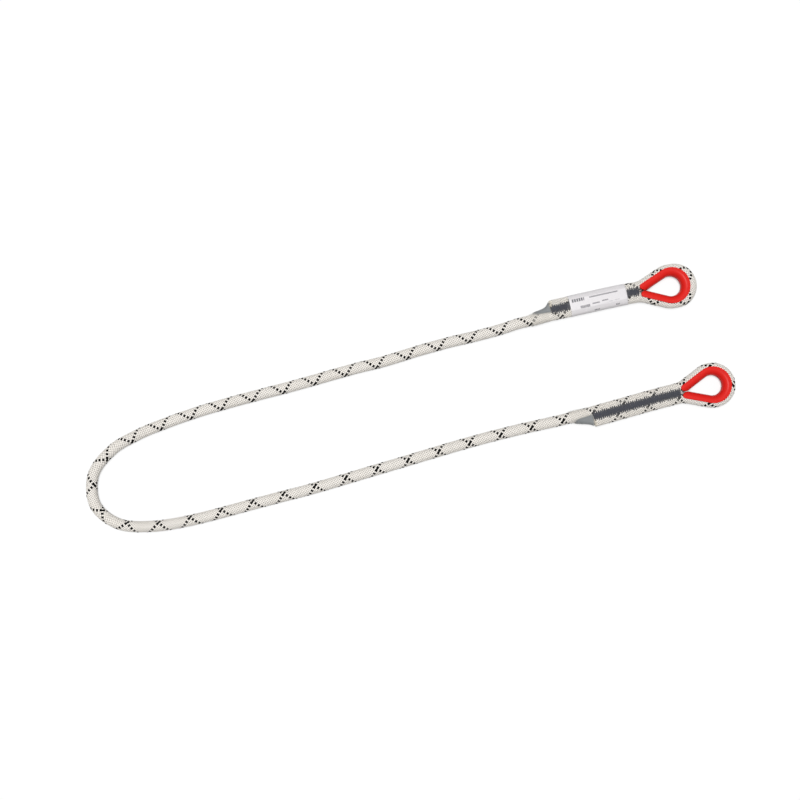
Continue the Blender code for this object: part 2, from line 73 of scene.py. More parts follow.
# Braid
CARRIERS = 12  # strands of each hand
PITCH = 0.0357  # length in which a strand goes once round, on the average
SECTIONS_A_TURN = 48
STRAND_THICKNESS = 0.00066
WEAVE = 0.00042  # how far a strand rises and sinks from the middle of the sheath
STRAND_COVER = 0.85  # share of the spacing that a strand's width fills
TRACER_COVER = 1.60  # the same for a tracer, whose yarn is fuller
TRACER_RISE = 0.0002  # the tracers stand this proud of the rest
# the crown sets where the yarn's finish paints shade on the low parts of the weave
CROWN_MIDDLE = 0.5  # height on a strand as a share, for its look: between two crossings,
CROWN_WEAVE = 0.3  # and how much the weave
CROWN_SECTION = 0.2  # and the strand's own section add
LONG_STRETCH = 1000  # sections; past it,
STRANDS_TOGETHER = 6  # this many strands at most share a piece
STRAND_SECTION = [(-1.0, -0.2), (-0.55, 0.95), (0.0, 0.55), (0.55, 0.95), (1.0, -0.2), (0.0, -0.9)]

# Where the two tracers cross, from the upper mouth, with the crossings counted from one of them
CROSSINGS = [(-0.4072, -21), (-0.2866, -18), (0.3614, 0), (0.5398, 5), (0.6074, 7), (1.1081, 21),
             (1.4971, 32)]
# Which way they face, in degrees from the inside of the U and the outside of an eye upwards
FACINGS = [(-0.354, 185), (-0.291, 15), (-0.140, 15), (-0.036, 42), (0.0, 30), (0.45, 30),
           (0.54, 44), (0.78, 60), (0.89, 84), (1.00, 102), (1.11, 107), (1.18, 96), (1.23, 92),
           (1.26, 76), (1.37, 78), (1.40, 95)]

# Thimble
HOLE_RADIUS = 0.01135
HOLE_TIP = 0.0282  # from the round end's centre to the hole's point
THIMBLE_WALL = 0.002
CHANNEL_BEND = 0.0062  # depth in which the channel's floor turns into its cheeks
CHEEK_DEPTH = 0.0092
LIP_ROUND = 0.0005
LIP_ANGLE = 40  # degrees, past which an edge is a lip
TONGUE_LENGTH = 0.007  # of the arms past the hole's point
TONGUE_ROUND = 0.0031
TONGUE_BLUNT = 0.98  # share of a half circle's width to which its rounding goes
TONGUE_STANDS = 0.25  # share of its rounding that stands past the arm
THROAT_GAP = 0.001  # between the two arms
CHANNEL_ROWS = 25
CHEEK_ROWS = 9
SPIN_STEPS = 36
ARM_ROWS = [0.12, 0.25, 0.4, 0.55, 0.7, 0.8, 0.88, 0.94, 0.98, 1.0]  # shares of an arm's length

# Sewn termination
CROTCH_RADIUS = 0.025  # of the bend from an arm of the eye to a leg
STITCH_SETBACK = 0.0025  # from the thimble's tongues
STITCH_LENGTH = 0.101
STITCH_WIDTH = 0.011
STITCH_SOLID = 0.0074  # width of the narrow zig-zag that fills the middle
STITCH_PITCH = 0.00235
TACK_PITCH = 0.00094  # of the narrow one
TACK_LIFT = 0.00005  # and how much higher it lies
STITCH_UNEVEN = 0.1
STITCH_WAVER = 2.4  # radians of the waver in its width from one stitch to the next
STITCH_PATH = [(-1, 1.1), (-0.86, 0.15), (0, -0.12), (0.86, 0.15)]  # share across, threads deep
THREAD_THICKNESS = 0.0006
THREAD_TWIN = 0.0006  # between the two threads of the wide zig-zag
THREAD_FINENESS = 1
TAIL_PAST_STITCH = 0.0012
TAIL_TAPER = [(0, 0.70), (0.0013, 0.92), (0.0038, 1.0)]  # from its end: share of the radius
MELT_LENGTH = 0.0024  # half of the melted end's
MELT_REACH = 0.985  # its width, as a share of the rope's
MELT_BLUNT = 0.75  # 1 makes a ball, and less a blunter end
LUMP_FINENESS = 2.3
LUMP_LENGTH = 0.12  # share by which its lumps lengthen it
LUMP_REACH = 0.05  # and widen it
NECK_LENGTH = 0.04  # behind the thimble, over which the sewn end bends

# Shrink sleeve and label
SLEEVE_WALL = 0.0004
SLEEVE_PAST_TAIL = 0.0238
SLEEVE_STEP = 0.0215  # length in which the film comes down from the tail to the rope
BRIDGE_FALL = 8  # how steeply its part that isn't straight falls off
SLEEVE_FLANKS = 0.005  # how far the film reaches up beside the tongues
SLEEVE_SHORT = 0.001  # and how far it stays behind them above and below
FLANK_FACING = 0.35  # share of sideways facing at which the flanks begin
FLANK_EASE = 0.45  # and over which they come to their full reach
MOUTH_EASE = 0.0009  # how much farther the mouth stands off the rope
MOUTH_HAZE = 0.18  # least share of its own colour that the film shows past the tail
LABEL_LENGTH = 0.0655
LABEL_FROM_TAIL = 0.0227
LABEL_THICKNESS = 0.0002
LABEL_SEAM = 0.003
LABEL_ROWS = 56
# Printed rows, as shares of the label: height, thickness, start and end along it, and the dash
PRINT_ROWS = [(0.33, 0.06, 0.74, 0.96, 0.02), (0.325, 0.026, 0.15, 0.65, 0.006),
              (0.475, 0.048, 0.66, 0.83, 0.0095), (0.455, 0.026, 0.49, 0.62, 0.007),
              (0.44, 0.026, 0.34, 0.45, 0.007), (0.48, 0.004, 0.27, 0.33, 0),
              (0.59, 0.03, 0.5, 0.6, 0.012), (0.475, 0.004, 0.14, 0.23, 0),
              (0.57, 0.03, 0.15, 0.22, 0.012)]
DASH_GAP = 0.3  # share of a row of dashes that stays white
FILM_EASE = 0.004  # length in which the film comes to a new height
CLEARANCE = 0.0003
FILM_STEP = 0.0008  # between two rows of the film
FILM_AROUND = 72
FILM_DIRECTIONS = 361  # tried for the tight loop
TIE_DIGITS = 9  # to which two reaches count as the same
FILM_CREASE = 0.00012
CREASE_ALONG = 260  # creases to a metre
CREASE_AROUND = 420
CREASE_FINER = 2.7  # times finer is the second set, of half the height
CREASE_TIGHT = 0.4  # share of their height on the rope
CREASE_FREE = 1.6  # and what standing free adds
CREASE_RISE = 0.3  # more of it makes broader creases
FILM_BRIDGE = 0.0012  # a film this far from the rope shows the grey of its painted shade in full
FILM_LEAVES = 4  # times sooner past the tail's end
FILM_CLEAREST = 0.03  # cover of the film on the rope
FILM_DENSEST = 0.94  # and where it stands free
FILM_CLOUDS = 0.12  # how much its clouds add to how loose it is
FILM_GREY = 0.7  # how loose it is where it is grey all over with painted shade

# The free rope's route, the same points as the solid's
ROUTE = [
    (0.1602, 0.0574), (0.1455, 0.0571), (0.1265, 0.0555), (0.0991, 0.0544), (0.0627, 0.0541),
    (0.0263, 0.0524), (-0.0099, 0.0497), (-0.0460, 0.0490), (-0.0821, 0.0473), (-0.1182, 0.0455),
    (-0.1543, 0.0445), (-0.1904, 0.0432), (-0.2263, 0.0411), (-0.2619, 0.0372), (-0.2973, 0.0314),
    (-0.3307, 0.0206), (-0.3565, -0.0020), (-0.3609, -0.0357), (-0.3395, -0.0615),
    (-0.3053, -0.0722), (-0.2697, -0.0754), (-0.2341, -0.0753), (-0.1984, -0.0740),
    (-0.1627, -0.0729), (-0.1268, -0.0720), (-0.0911, -0.0701), (-0.0554, -0.0678),
    (-0.0195, -0.0657), (0.0164, -0.0634), (0.0523, -0.0613), (0.0884, -0.0599), (0.1246, -0.0594),
    (0.1445, -0.0596), (0.1625, -0.0598), (0.1775, -0.0594),
]
# The two ends, as in the solids: where the sleeve's mouth is, the free rope's heading there and the
# neck's bend in degrees, the tail's side, the rope's slack round the thimble, the straight share of
# the film's drop past the tail, and whether it has the label
TERMINATIONS = {
    "upper": {"mouth": ROUTE[0], "heading": -0.3, "bend": -2.7, "tail": 1, "slack": 0.0046,
              "bridge": 0.6, "labelled": True},
    "lower": {"mouth": ROUTE[-1], "heading": 2.7, "bend": -2.1, "tail": -1, "slack": 0.0015,
              "bridge": 0.9, "labelled": False},
}

# Sizes that follow
ROPE_RADIUS = ROPE_DIAMETER / 2
ROPE_HEIGHT = ROPE_RADIUS * math.cos(math.pi / SOLID_SIDES)
LEG_RADIUS = (ROPE_DIAMETER - SEWN_SQUEEZE) / 2
LEG_OFFSET = LEG_RADIUS + CLEARANCE / 2
CHEEK_INSIDE = LEG_RADIUS + CLEARANCE
CHEEK_OUTSIDE = CHEEK_INSIDE + THIMBLE_WALL
HALF_ANGLE = math.asin(HOLE_RADIUS / HOLE_TIP)
EYE_RADIUS = HOLE_RADIUS + THIMBLE_WALL + CLEARANCE + LEG_RADIUS
STITCH_START = HOLE_TIP + TONGUE_LENGTH + STITCH_SETBACK
STITCH_END = STITCH_START + STITCH_LENGTH
TAIL_END = STITCH_END + TAIL_PAST_STITCH
MOUTH = TAIL_END + SLEEVE_PAST_TAIL
LABEL_END = TAIL_END - LABEL_FROM_TAIL
LABEL_START = LABEL_END - LABEL_LENGTH
THREAD_HEIGHT = LEG_RADIUS + CLEARANCE + THREAD_THICKNESS / 2
STITCH_REACH = STITCH_WIDTH / 2 * (1 + STITCH_UNEVEN)
EYE_HEIGHT = CHEEK_OUTSIDE
SHEATH_DEPTH = WEAVE + STRAND_THICKNESS / 2  # from the rope's outside to the sheath's middle
CORE_DEPTH = 2 * SHEATH_DEPTH
MILLIMETRES = 1000  # to a metre

# Angles in degrees up to which an edge is smooth
PLAIN_SMOOTH = 40
YARN_SMOOTH = 75
THREAD_SMOOTH = 80
FILM_SMOOTH = 60

# A Mix node's sockets for colours
MIX_FIRST = 6
MIX_SECOND = 7
MIX_RESULT = 2


def add_object(name, data):
    """An object in the scene."""
    item = bpy.data.objects.new(name, data)
    bpy.context.scene.collection.objects.link(item)
    return item


def set_camera():
    picture_up = Vector((math.sin(PICTURE_TURN), math.cos(PICTURE_TURN), 0))
    away = Vector((0, 0, math.sin(CAMERA_RISE))) - picture_up * math.cos(CAMERA_RISE)
    right = picture_up.cross(away).normalized()
    up = away.cross(right)
    camera = add_object("camera", bpy.data.cameras.new("camera"))
    camera.data.lens = LENS
    facing = Matrix((right, up, away)).transposed().to_4x4()
    camera.matrix_world = Matrix.Translation(PICTURE_CENTRE + away * CAMERA_DISTANCE) @ facing
    bpy.context.scene.camera = camera


def smooth(share):
    """0 to 1 with level ends."""
    share = np.clip(share, 0, 1)
    return share * share * (3 - 2 * share)


# Lines that the rope follows

def bent(points, bend):
    """Carry points of a straight termination along its neck, which turns by bend radians."""
    points = np.asarray(points, float)
    x, y = points[..., 0], points[..., 1]
    past = np.maximum(-x - STITCH_START, 0)
    turned = bend * np.minimum(past / NECK_LENGTH, 1)
    radius = NECK_LENGTH / bend
    along = np.maximum(past - NECK_LENGTH, 0)
    back_x = -STITCH_START - radius * np.sin(turned) - along * np.cos(turned) + y * np.sin(turned)
    back_y = radius * (1 - np.cos(turned)) + along * np.sin(turned) + y * np.cos(turned)
    carried = points.copy()
    carried[..., 0] = np.where(past > 0, back_x, x)
    carried[..., 1] = np.where(past > 0, back_y, y)
    return carried


def place_of(place):
    """The matrix that takes a termination, modelled about its thimble's round end, to its place."""
    bend = math.radians(place["bend"])
    looks = math.radians(place["heading"]) + bend
    x, y = bent((-MOUTH, -place["tail"] * LEG_OFFSET), bend)
    shift = Vector((place["mouth"][0] - x * math.cos(looks) + y * math.sin(looks),
                    place["mouth"][1] - x * math.sin(looks) - y * math.cos(looks),
                    EYE_HEIGHT))
    return Matrix.Translation(shift) @ Matrix.Rotation(looks, 4, "Z")


def moved(points, place):
    """Points of a straight termination, bent at its neck and put in its place."""
    points = bent(points, math.radians(place["bend"]))
    matrix = np.array(place_of(place))
    return points @ matrix[:3, :3].T + matrix[:3, 3]


def arc(centre, radius, first, last):
    """Points of an arc between two angles."""
    count = max(3, math.ceil(abs(last - first) * radius / LINE_STEP))
    angles = np.linspace(first, last, count)
    return [(centre[0] + radius * math.cos(a), centre[1] + radius * math.sin(a)) for a in angles]


def crotch():
    """The arc where an arm of the eye turns into a leg: x of its end at the leg and at the arm."""
    corner = -(EYE_RADIUS - LEG_OFFSET * math.cos(HALF_ANGLE)) / math.sin(HALF_ANGLE)
    tangent = CROTCH_RADIUS * math.tan(HALF_ANGLE / 2)
    return corner - tangent, corner + tangent * math.cos(HALF_ANGLE)


def leg_at(back):
    """Offset and slope angle of the rope's middle line at a distance behind the eye's centre."""
    leg_end, arm_end = crotch()
    if -back <= leg_end:
        return LEG_OFFSET, 0.0
    if -back <= arm_end:
        angle = math.asin((-back - leg_end) / CROTCH_RADIUS)
        return LEG_OFFSET + CROTCH_RADIUS * (1 - math.cos(angle)), angle
    rise = LEG_OFFSET + CROTCH_RADIUS * (1 - math.cos(HALF_ANGLE))
    return rise + (-back - arm_end) * math.tan(HALF_ANGLE), HALF_ANGLE


def leg_radius_at(back):
    """The rope is thin as far as its tail lies beside it, and full at the sleeve's mouth."""
    return LEG_RADIUS + (ROPE_RADIUS - LEG_RADIUS) * smooth((back - TAIL_END) / SLEEVE_STEP)


def tail_taper(from_end):
    """Share of its radius that the rope has at a distance from the tail's melted end."""
    return np.interp(from_end, *np.array(TAIL_TAPER).T)


def eye_line(place):
    """The rope from its tail's end, round the thimble, to the sleeve's mouth, and its radii."""
    leg_end, _ = crotch()
    right = math.pi / 2
    side = [(-TAIL_END, LEG_OFFSET)]
    side += arc((leg_end, LEG_OFFSET + CROTCH_RADIUS), CROTCH_RADIUS, -right, HALF_ANGLE - right)
    side += arc((0, 0), EYE_RADIUS, right + HALF_ANGLE, right)
    side += arc((place["slack"], 0), EYE_RADIUS, right, 0)
    flat = side + [(x, -y) for x, y in reversed(side[1:-1])] + [(-MOUTH, -LEG_OFFSET)]
    flat = evenly(np.array(flat), LINE_STEP)
    standing = np.arange(len(flat)) > len(flat) / 2
    radii = leg_radius_at(np.where(standing, -flat[:, 0], 0))
    radii *= np.where(standing, 1, tail_taper(TAIL_END + flat[:, 0]))
    x, y = flat.T
    return moved(np.column_stack([x, y * place["tail"], 0 * x]), place), radii


def evenly(points, step):
    """The same line with points at equal distances."""
    along = distances(points)
    stops = np.linspace(0, along[-1], math.ceil(along[-1] / step) + 1)
    return np.column_stack([np.interp(stops, along, column) for column in points.T])


def distances(points):
    """How far along a line each of its points is."""
    steps = np.linalg.norm(np.diff(points, axis=0), axis=1)
    return np.concatenate([[0], np.cumsum(steps)])


def free_line():
    """The free stretch from mouth to mouth, a Catmull-Rom curve through the route's points."""
    route = [np.array(point) for point in ROUTE]
    ends = []
    for place, near in zip(TERMINATIONS.values(), (1, -2)):
        angle = math.radians(place["heading"])
        out = np.array([math.cos(angle), math.sin(angle)])
        span = np.linalg.norm(route[near] - np.array(place["mouth"]))
        ends.append(route[near] + 2 * span * out)
    knots = [ends[0], *route, ends[1]]
    fine = []
    for before, start, end, after in zip(knots, knots[1:], knots[2:], knots[3:]):
        for t in np.linspace(0, 1, ROUTE_STEPS, endpoint=False):
            fine.append(0.5 * (2 * start + (end - before) * t
                               + (2 * before - 5 * start + 4 * end - after) * t ** 2
                               + (3 * start - before - 3 * end + after) * t ** 3))
    flat = evenly(np.array(fine + [route[-1]]), LINE_STEP)
    along = distances(flat)
    down = smooth(np.minimum(along, along[-1] - along) / DESCENT)
    return np.column_stack([flat, EYE_HEIGHT + (ROPE_HEIGHT - EYE_HEIGHT) * down])


class RopeLine:
    """The whole rope: middle line, frame and radius at any distance from the upper tail's end."""

    def __init__(self):
        upper, upper_radii = eye_line(TERMINATIONS["upper"])
        free = free_line()
        lower, lower_radii = eye_line(TERMINATIONS["lower"])
        self.points = np.concatenate([upper, free[1:], lower[-2::-1]])
        self.radii = np.concatenate([upper_radii, np.full(len(free) - 1, ROPE_RADIUS),
                                     lower_radii[-2::-1]])
        self.along = distances(self.points)
        self.upper_mouth = self.along[len(upper) - 1]
        self.lower_mouth = self.along[len(upper) + len(free) - 2]
        self.length = self.along[-1]
        ahead = np.gradient(self.points, axis=0)
        ahead /= np.linalg.norm(ahead, axis=1)[:, None]
        inward = np.column_stack([-ahead[:, 1], ahead[:, 0], np.zeros(len(ahead))])
        self.inward = inward / np.linalg.norm(inward, axis=1)[:, None]
        self.upward = np.cross(ahead, self.inward)

    def at(self, values, stops):
        """A value of the line, a number or a vector, at some distances."""
        if values.ndim == 1:
            return np.interp(stops, self.along, values)
        return np.stack([np.interp(stops, self.along, column) for column in values.T], axis=-1)

    def count_at(self, stop):
        """Crossings of the tracers up to a distance."""
        return np.interp(stop - self.upper_mouth, *np.array(CROSSINGS).T)

    def where(self, counts):
        """Distances at which some counts of crossings are reached."""
        places, counted = np.array(CROSSINGS).T
        return self.upper_mouth + np.interp(counts, counted, places)

    def facing(self, stops):
        """Turn of the tracers' crossings about the rope."""
        return np.radians(np.interp(stops - self.upper_mouth, *np.array(FACINGS).T))

    def surface(self, stops, turns, depths):
        """Points at a turn about the rope, and at a depth below its outside."""
        reach = self.at(self.radii, stops) - depths
        sideways = self.at(self.inward, stops) * np.cos(turns)[..., None]
        upwards = self.at(self.upward, stops) * np.sin(turns)[..., None]
        return self.at(self.points, stops) + reach[..., None] * (sideways + upwards)


# Making and keeping pieces

def new_piece(name, data, material, slot, *nodes):
    """A finished piece that rides with the part and may stand for nodes of it."""
    piece = add_object(name, data)
    piece.data.materials.clear()
    piece.data.materials.append(material)
    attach(piece, "root")
    if nodes:
        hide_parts(*nodes)
    return piece


def mesh_of(form, name, sharp=PLAIN_SMOOTH):
    """The mesh of a bmesh, its faces outwards, smooth but for edges sharper than an angle."""
    bmesh.ops.recalc_face_normals(form, faces=form.faces)
    mesh = bpy.data.meshes.new(name)
    form.to_mesh(mesh)
    form.free()
    mesh.shade_smooth()
    mesh.set_sharp_from_angle(angle=math.radians(sharp))
    return mesh


def round_curve(name, points, radius, fineness):
    """A round bar through points, its ends closed."""
    curve = bpy.data.curves.new(name, "CURVE")
    curve.dimensions = "3D"
    curve.bevel_depth = radius
    curve.bevel_resolution = fineness
    curve.use_fill_caps = True
    spline = curve.splines.new("POLY")
    spline.points.add(len(points) - 1)
    for knot, point in zip(spline.points, points):
        knot.co = (*point, 1)
    return curve


def thread_mesh(points):
    """The mesh of a thread through points."""
    curve = round_curve("thread", points, THREAD_THICKNESS / 2, THREAD_FINENESS)
    maker = add_object(curve.name, curve)
    seen = maker.evaluated_get(bpy.context.evaluated_depsgraph_get())
    mesh = bpy.data.meshes.new_from_object(seen)
    bpy.data.objects.remove(maker)
    bpy.data.curves.remove(curve)
    mesh.shade_smooth()
    return mesh


def sheet_form(points, closed=False, **values):
    """A bmesh grid laid on rows of points, with named values at them, welded along if closed."""
    rows, columns = points.shape[:2]
    form = bmesh.new()
    form.loops.layers.uv.new("sheet")
    bmesh.ops.create_grid(form, x_segments=columns - 1, y_segments=rows - 1, size=1,
                          calc_uvs=True)
    kept = {name: form.verts.layers.float.new(name) for name in values}
    for corner in form.verts:
        column = round((corner.co.x + 1) / 2 * (columns - 1))
        row = round((corner.co.y + 1) / 2 * (rows - 1))
        corner.co = points[row, column]
        for name, layer in kept.items():
            corner[layer] = values[name][row, column]
    if closed:
        bmesh.ops.remove_doubles(form, verts=form.verts, dist=0.000001)
    return form


# The braid

def strand_blank(sections):
    """A straight tube with a closed end at each side, as long as its count of sections."""
    sides = len(STRAND_SECTION)
    form = bmesh.new()
    form.loops.layers.uv.new("strand")
    bmesh.ops.create_grid(form, x_segments=sections - 1, y_segments=sides, size=1, calc_uvs=True)
    for corner in form.verts:
        turn = (corner.co.y + 1) * math.pi
        corner.co = ((corner.co.x + 1) / 2 * (sections - 1), math.cos(turn), math.sin(turn))
    bmesh.ops.remove_doubles(form, verts=form.verts, dist=0.01)
    rims = [edge for edge in form.edges if edge.is_boundary]
    bmesh.ops.holes_fill(form, edges=rims, sides=0)
    blank = bpy.data.meshes.new("strand_blank")
    form.to_mesh(blank)
    form.free()
    return blank


def numbers(mesh_data, field, width):
    """One field of all points or corners of a mesh, a row for each."""
    values = np.empty(len(mesh_data) * width, np.float32)
    mesh_data.foreach_get(field, values)
    return values.reshape(-1, width)


def lay_strand(blank, line, lays, number, hand):
    """A copy of the blank, wound round the rope and woven over and under its neighbours.

    hand is 1 for a strand that turns to the right and -1 for one that turns to the left. The
    strands with the number 0 are the tracers. The attribute crown tells how high a corner lies.
    """
    straight = numbers(blank.vertices, "co", 3)
    sides = len(STRAND_SECTION)
    section = np.round(straight[:, 0]).astype(int)
    corner = np.round(np.arctan2(straight[:, 2], straight[:, 1]) / (2 * math.pi / sides))
    across, raised = np.array(STRAND_SECTION)[corner.astype(int) % sides].T

    stops = line.where(lays)
    stop, lay = stops[section], lays[section]
    middle = line.at(line.radii, stop) - SHEATH_DEPTH
    slant = np.arctan(2 * math.pi * middle / PITCH)
    cover = STRAND_COVER if number else TRACER_COVER
    aside = across * math.pi * middle / CARRIERS * np.cos(slant) * cover
    # The sections come at 45, 135, 225 and 315 degrees of the weave: the wave is 1 or -1 there
    wave = hand * math.sqrt(2) * np.cos(2 * CARRIERS * math.pi * lay)
    height = WEAVE * wave + raised * STRAND_THICKNESS / 2 + (0 if number else TRACER_RISE)
    start = 2 * math.pi * number / CARRIERS
    turn = line.facing(stop) + start + hand * 2 * math.pi * lay + aside * np.cos(slant) / middle
    places = line.surface(stop - hand * aside * np.sin(slant), turn, SHEATH_DEPTH - height)

    strand = blank.copy()
    strand.vertices.foreach_set("co", places.astype(np.float32).ravel())
    # crown: how high a corner lies, which the yarn's finish turns into painted shade where it is
    # low
    crown = strand.attributes.new("crown", "FLOAT", "POINT")
    height_share = CROWN_MIDDLE + CROWN_WEAVE * wave + CROWN_SECTION * raised
    crown.data.foreach_set("value", height_share.astype(np.float32))
    unrolled = numbers(strand.uv_layers[0].data, "uv", 2)
    unrolled[:, 0] *= (stops[-1] - stops[0]) * MILLIMETRES / math.cos(float(np.mean(slant)))
    strand.uv_layers[0].data.foreach_set("uv", unrolled.ravel())
    return strand


def braid_pieces(line, name, first, last, looks):
    """Every strand of a stretch of the sheath, in a few pieces, the tracers by themselves."""
    low, high = (round(line.count_at(stop) * SECTIONS_A_TURN) for stop in (first, last))
    lays = (np.arange(low, high + 1) + 0.5) / SECTIONS_A_TURN
    blank = strand_blank(len(lays))
    most = STRANDS_TOGETHER if len(lays) > LONG_STRETCH else CARRIERS
    pieces, tracers = [], []
    for hand, word in ((1, "right"), (-1, "left")):
        strands = [lay_strand(blank, line, lays, number, hand) for number in range(CARRIERS)]
        tracers.append(strands[0])
        plain = strands[1:]
        for number, group in enumerate(plain[i:i + most] for i in range(0, len(plain), most)):
            label = f"{word}_hand_strands_{name}_{number + 1}"
            pieces.append(joined(label, group, YARN_SMOOTH, looks["strand"], "rope_sheath"))
    pieces.append(joined(f"tracer_strands_{name}", tracers, YARN_SMOOTH, looks["tracer"],
                         "rope_sheath"))
    bpy.data.meshes.remove(blank)
    return pieces


def joined(name, meshes, sharp, material, slot, *nodes):
    """One piece of several meshes, which are used up."""
    form = bmesh.new()
    for mesh in meshes:
        form.from_mesh(mesh)
        bpy.data.meshes.remove(mesh)
    return new_piece(name, mesh_of(form, name, sharp), material, slot, *nodes)


def add_core(line, name, first, last, step, looks, *nodes):
    """The core of a stretch of the rope, as thick as the braid leaves room for."""
    stops = np.linspace(first, last, math.ceil((last - first) / step) + 1)
    middle = line.at(line.points, stops)
    curve = round_curve(f"rope_core_{name}", middle, ROPE_RADIUS, CORE_FINENESS)
    curve.twist_mode = "Z_UP"
    spline = curve.splines[0]
    spline.use_smooth = True
    for knot, radius in zip(spline.points, line.at(line.radii, stops)):
        knot.radius = (radius - CORE_DEPTH) / ROPE_RADIUS
    return new_piece(curve.name, curve, looks["core"], "rope_core", *nodes)


def add_rope(line, looks):
    """The free stretch and the rope of both eyes."""
    cord = add_core(line, "free", line.upper_mouth, line.lower_mouth, CORE_STEP, looks,
                    "rope_sheath_free_stretch", "rope_core_free_stretch")
    braid = braid_pieces(line, "free", line.upper_mouth, line.lower_mouth, looks)
    tuple(line.at(line.points, np.array(line.upper_mouth)))
    for name, first, last in (("upper_eye", MELT_LENGTH, line.upper_mouth),
                              ("lower_eye", line.lower_mouth, line.length - MELT_LENGTH)):
        add_core(line, name, first, last, EYE_CORE_STEP, looks,
                 f"rope_sheath_{name}", f"rope_core_{name}")
        braid_pieces(line, name, first, last, looks)


def add_melted_end(name, place, looks):
    """The end of the tail, sealed by heat: a lumpy button over the cut strands."""
    form = bmesh.new()
    bmesh.ops.create_uvsphere(form, u_segments=48, v_segments=28, radius=1)
    for corner in form.verts:
        lump = noise.noise(corner.co * LUMP_FINENESS + Vector((len(name), 0, 0)))
        back = math.copysign(abs(corner.co.z) ** MELT_BLUNT, corner.co.z)
        along = MELT_LENGTH * (1 + back * (1 + LUMP_LENGTH * lump))
        reach = LEG_RADIUS * (MELT_REACH + LUMP_REACH * lump) * tail_taper(along)
        local = (along - TAIL_END, place["tail"] * LEG_OFFSET + corner.co.x * reach,
                 corner.co.y * reach)
        corner.co = moved(np.array(local), place)
    new_piece(f"melted_end_{name}", mesh_of(form, f"melted_end_{name}"), looks["melted"],
              "rope_sheath")


# Thimble

def arm_length(depth):
    """How far an arm runs past the round end, at a depth in the channel: its end is rounded."""
    to_tip = math.sqrt(HOLE_TIP ** 2 - HOLE_RADIUS ** 2)
    past = (TONGUE_LENGTH - CHANNEL_BEND * math.sin(HALF_ANGLE)) / math.cos(HALF_ANGLE)
    cut = (past * math.sin(HALF_ANGLE) + THROAT_GAP / 2) / math.cos(HALF_ANGLE)
    aside = (depth - (cut + CHEEK_DEPTH) / 2) / TONGUE_ROUND
    aside = min(max(aside, -TONGUE_BLUNT), TONGUE_BLUNT)
    rounding = TONGUE_ROUND * (math.sqrt(1 - aside * aside) - 1)
    return to_tip + past + rounding + TONGUE_ROUND * TONGUE_STANDS


def channel_side(bend, cheek):
    """One side of the channel's wall, from cheek to cheek: depth and height of its points."""
    turns = np.linspace(math.pi / 2, -math.pi / 2, CHANNEL_ROWS)
    middle = [(CHANNEL_BEND - bend * math.cos(turn), cheek * math.sin(turn)) for turn in turns]
    rims = np.linspace(CHEEK_DEPTH, CHANNEL_BEND, CHEEK_ROWS)[:-1]
    return [(rim, cheek) for rim in rims] + middle + [(rim, -cheek) for rim in rims[::-1]]


def only(kind, items):
    return [item for item in items if isinstance(item, kind)]


def thimble_form():
    """Half a channel spun round the hole's end, run out along an arm and mirrored."""
    form = bmesh.new()
    outside = channel_side(CHANNEL_BEND, CHEEK_OUTSIDE)
    inside = channel_side(CHANNEL_BEND - THIMBLE_WALL, CHEEK_INSIDE)
    ring = [form.verts.new((HOLE_RADIUS + depth, 0, z)) for depth, z in outside + inside[::-1]]
    edges = [form.edges.new(pair) for pair in zip(ring, ring[1:] + ring[:1])]
    spun = bmesh.ops.spin(form, geom=ring + edges, cent=(0, 0, 0), axis=(0, 0, 1),
                          angle=math.pi / 2 + HALF_ANGLE, steps=SPIN_STEPS, use_duplicate=False)
    across = Vector((-math.sin(HALF_ANGLE), math.cos(HALF_ANGLE), 0))
    outwards = Vector((-math.cos(HALF_ANGLE), -math.sin(HALF_ANGLE), 0))
    end = only(bmesh.types.BMEdge, spun["geom_last"])
    for before, share in zip([0] + ARM_ROWS, ARM_ROWS):
        run = bmesh.ops.extrude_edge_only(form, edges=end)["geom"]
        for corner in only(bmesh.types.BMVert, run):
            depth = corner.co.dot(across) - HOLE_RADIUS
            corner.co += outwards * arm_length(depth) * (share - before)
        end = only(bmesh.types.BMEdge, run)
    bmesh.ops.holes_fill(form, edges=end, sides=0)
    arm = [face for face in form.faces if face.calc_center_median().x < -HOLE_RADIUS]
    geometry = list({item for face in arm for item in (*face.verts, *face.edges, face)})
    bmesh.ops.bisect_plane(form, geom=geometry, dist=1e-7, plane_co=(0, THROAT_GAP / 2, 0),
                           plane_no=(0, 1, 0), clear_inner=True)
    rim = [edge for edge in form.edges
           if edge.is_boundary and all(corner.co.x < 0 for corner in edge.verts)]
    bmesh.ops.contextual_create(form, geom=rim)
    bmesh.ops.mirror(form, geom=form.verts[:] + form.edges[:] + form.faces[:],
                     axis="Y", merge_dist=0.00001)
    return form


def add_thimble(name, place, looks):
    form = thimble_form()
    bmesh.ops.transform(form, matrix=place_of(place), verts=form.verts)
    piece = new_piece(f"red_thimble_{name}", mesh_of(form, f"red_thimble_{name}"),
                      looks["thimble"], "thimble_red", f"thimble_{name}")
    rounded = piece.modifiers.new("Rounded lips", "BEVEL")
    rounded.width = LIP_ROUND
    rounded.segments = 3
    rounded.limit_method = "ANGLE"
    rounded.angle_limit = math.radians(LIP_ANGLE)


# Sewing

def zigzag(place, pitch, width, uneven, lift, side, shift=0):
    """A thread that goes from edge to edge of the seam, and dips into the rope at each."""
    count = round(STITCH_LENGTH / pitch * 2)
    points = []
    for i in range(count):
        from_side = 1 if i % 2 else -1
        back = STITCH_START + (i + 0.5) * STITCH_LENGTH / count + shift
        wide = width / 2 * (1 + uneven * math.sin(STITCH_WAVER * i + side) - uneven / 2)
        for share, sink in STITCH_PATH:
            lean = share * STITCH_LENGTH / count / 2
            points.append((-(back + lean), from_side * share * wide,
                           side * (THREAD_HEIGHT + lift - sink * THREAD_THICKNESS)))
    return moved(np.array(points), place)


